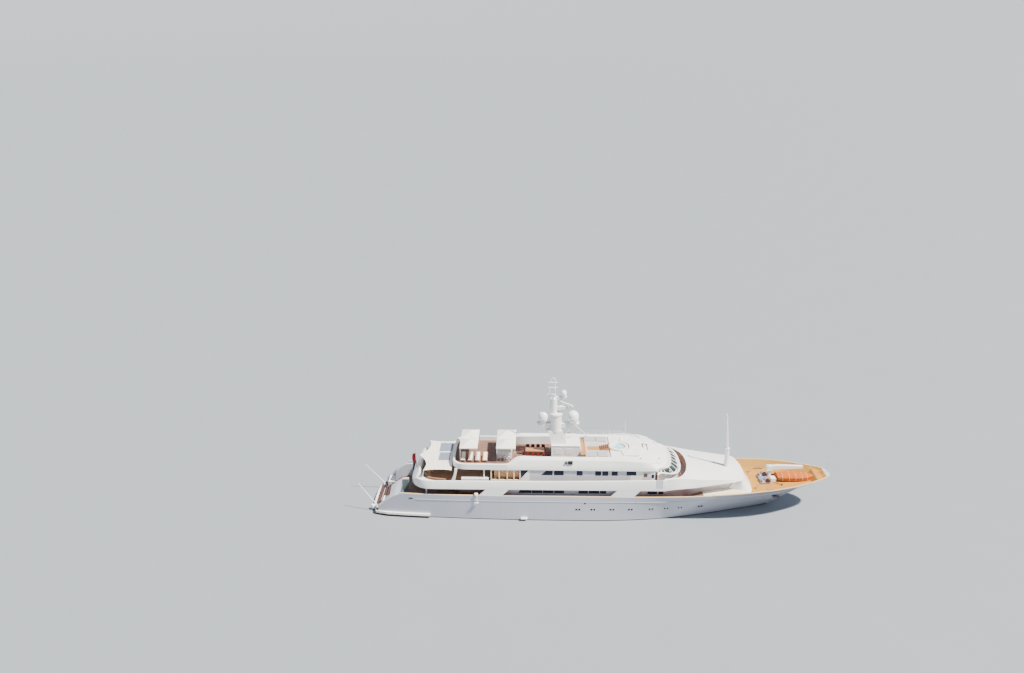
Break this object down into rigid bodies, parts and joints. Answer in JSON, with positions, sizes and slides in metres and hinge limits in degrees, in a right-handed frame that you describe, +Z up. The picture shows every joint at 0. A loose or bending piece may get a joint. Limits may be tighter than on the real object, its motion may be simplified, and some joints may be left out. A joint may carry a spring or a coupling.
{
  "type": "motor yacht, 1:2 scale model",
  "caption": "Long white displacement motor yacht with three decks, raked bow, awning and canopies aft, radar mast, covered tender on the foredeck, whole hull with propellers and rudders.",
  "frame": {"origin": "on the waterline, on the centreline, amidships", "axes": "+X to the bow, +Y to port, +Z up"},
  "size_m": [35.9634, 5.9, 12.2797],
  "materials": {
    "hull_paint": "gloss",
    "house_paint": "gloss",
    "grey_paint": "satin",
    "mast_paint": "gloss",
    "dome_plastic": "gloss",
    "wood": "oiled",
    "steel": "polished",
    "bronze": "satin",
    "canvas": "woven",
    "cushion": "woven",
    "boat_cover": "woven",
    "flag_cloth": "woven",
    "dark_fitting": "matte",
    "tinted_glass": "polished"
  },
  "bodies": {
    "yacht": {"aft_sofa": "cushion", "anchor_port": "steel", "anchor_starboard": "steel", "awning": "canvas", "bar_house": "house_paint", "canopy_aft": "canvas", "canopy_fore": "canvas", "canopy_frame_aft": "steel", "canopy_frame_fore": "steel", "coach_roof": "house_paint", "cockpit_sofa": "cushion", "crane_pedestal": "mast_paint", "deck_locker": "house_paint", "dining_table": "wood", "ensign": "flag_cloth", "foremast": "mast_paint", "helm_console": "dark_fitting", "hot_tub": "house_paint", "hull": "hull_paint", "main_deckhouse": "house_paint", "mast_house": "house_paint", "radar_mast": "mast_paint", "sat_dome_aft": "dome_plastic", "sat_dome_fore": "dome_plastic", "sat_dome_upper": "dome_plastic", "stern_shoulder_port": "hull_paint", "stern_shoulder_starboard": "hull_paint", "sun_pad": "cushion", "sundeck": "house_paint", "swim_platform": "hull_paint", "tender_cover": "boat_cover", "tender_cradle": "dark_fitting", "tender_hull": "dome_plastic", "upper_deck": "house_paint", "upper_deckhouse": "grey_paint", "wheelhouse": "house_paint", "windlass_bed": "grey_paint", "winter_garden_frame": "wood"},
    "propeller_starboard": {"propeller_starboard": "bronze"},
    "rudder_starboard": {"rudder_starboard": "bronze"},
    "stabiliser_fin_starboard": {"stabiliser_fin_starboard": "bronze"},
    "boarding_gate_starboard": {"boarding_gate_starboard": "house_paint"},
    "wheelhouse_door_starboard": {"wheelhouse_door_starboard": "house_paint"},
    "saloon_door_starboard": {"saloon_door_starboard": "tinted_glass"},
    "capstan_starboard": {"capstan_starboard": "steel"},
    "mooring_whip_starboard": {"mooring_whip_starboard": "mast_paint"},
    "propeller_port": {"propeller_port": "bronze"},
    "rudder_port": {"rudder_port": "bronze"},
    "stabiliser_fin_port": {"stabiliser_fin_port": "bronze"},
    "boarding_gate_port": {"boarding_gate_port": "house_paint"},
    "wheelhouse_door_port": {"wheelhouse_door_port": "house_paint"},
    "saloon_door_port": {"saloon_door_port": "tinted_glass"},
    "capstan_port": {"capstan_port": "steel"},
    "mooring_whip_port": {"mooring_whip_port": "mast_paint"},
    "radar_scanner": {"radar_scanner": "mast_paint"},
    "crane_head": {"crane_head": "mast_paint"},
    "crane_boom": {"crane_boom": "mast_paint"}
  },
  "joints": [
    {"name": "propeller_starboard_spin", "type": "hinge", "parent": "yacht", "child": "propeller_starboard", "pos_m": [-13.475, -1.15, -1.25], "axis": [1, 0, 0], "continuous": true},
    {"name": "propeller_port_spin", "type": "hinge", "parent": "yacht", "child": "propeller_port", "pos_m": [-13.475, 1.15, -1.25], "axis": [1, 0, 0], "continuous": true},
    {"name": "rudder_starboard_turn", "type": "hinge", "parent": "yacht", "child": "rudder_starboard", "pos_m": [-14.375, -1.15, -0.65], "axis": [0, 0, 1], "range_deg": [-35, 35]},
    {"name": "rudder_port_turn", "type": "hinge", "parent": "yacht", "child": "rudder_port", "pos_m": [-14.375, 1.15, -0.65], "axis": [0, 0, 1], "range_deg": [-35, 35]},
    {"name": "fin_starboard_turn", "type": "hinge", "parent": "yacht", "child": "stabiliser_fin_starboard", "pos_m": [-0.6, -2.43, -1.46], "axis": [0, -0.66, -0.7513], "range_deg": [-20, 20]},
    {"name": "fin_port_turn", "type": "hinge", "parent": "yacht", "child": "stabiliser_fin_port", "pos_m": [-0.6, 2.43, -1.46], "axis": [0, 0.66, -0.7513], "range_deg": [-20, 20]},
    {"name": "radar_scanner_spin", "type": "hinge", "parent": "yacht", "child": "radar_scanner", "pos_m": [-2.75, 0, 8.15], "axis": [0, 0, 1], "continuous": true},
    {"name": "crane_slew", "type": "hinge", "parent": "yacht", "child": "crane_head", "pos_m": [13.05, 0.575, 2.625], "axis": [0, 0, 1], "range_deg": [0, 110]},
    {"name": "crane_luff", "type": "hinge", "parent": "crane_head", "child": "crane_boom", "pos_m": [13.05, 0.575, 2.85], "axis": [0, -1, 0], "range_deg": [0, 70]},
    {"name": "boarding_gate_starboard_swing", "type": "hinge", "parent": "yacht", "child": "boarding_gate_starboard", "pos_m": [4.3747, -2.925, 3.1], "axis": [0, 0, 1], "range_deg": [0, 100]},
    {"name": "boarding_gate_port_swing", "type": "hinge", "parent": "yacht", "child": "boarding_gate_port", "pos_m": [4.3747, 2.925, 3.1], "axis": [0, 0, -1], "range_deg": [0, 100]},
    {"name": "wheelhouse_door_starboard_swing", "type": "hinge", "parent": "yacht", "child": "wheelhouse_door_starboard", "pos_m": [3.8247, -2.4, 3.25], "axis": [0, 0, 1], "range_deg": [0, 90]},
    {"name": "wheelhouse_door_port_swing", "type": "hinge", "parent": "yacht", "child": "wheelhouse_door_port", "pos_m": [3.8247, 2.4, 3.25], "axis": [0, 0, -1], "range_deg": [0, 90]},
    {"name": "saloon_door_starboard_slide", "type": "slide", "parent": "yacht", "child": "saloon_door_starboard", "axis": [0, -1, 0], "range_m": [0, 0.45]},
    {"name": "saloon_door_port_slide", "type": "slide", "parent": "yacht", "child": "saloon_door_port", "axis": [0, 1, 0], "range_m": [0, 0.45]},
    {"name": "capstan_starboard_spin", "type": "hinge", "parent": "yacht", "child": "capstan_starboard", "pos_m": [12.475, -0.525, 2.3], "axis": [0, 0, 1], "continuous": true},
    {"name": "capstan_port_spin", "type": "hinge", "parent": "yacht", "child": "capstan_port", "pos_m": [12.475, 0.525, 2.3], "axis": [0, 0, 1], "continuous": true},
    {"name": "mooring_whip_starboard_tilt", "type": "hinge", "parent": "yacht", "child": "mooring_whip_starboard", "pos_m": [-17.15, -1.8, 0.5553], "axis": [0, 1, 0], "range_deg": [-40, 35]},
    {"name": "mooring_whip_port_tilt", "type": "hinge", "parent": "yacht", "child": "mooring_whip_port", "pos_m": [-17.15, 1.8, 0.5553], "axis": [0, 1, 0], "range_deg": [-40, 35]}
  ],
  "couplings": [
    {"joint": "rudder_port_turn", "follows": "rudder_starboard_turn", "ratio": 1}
  ]
}
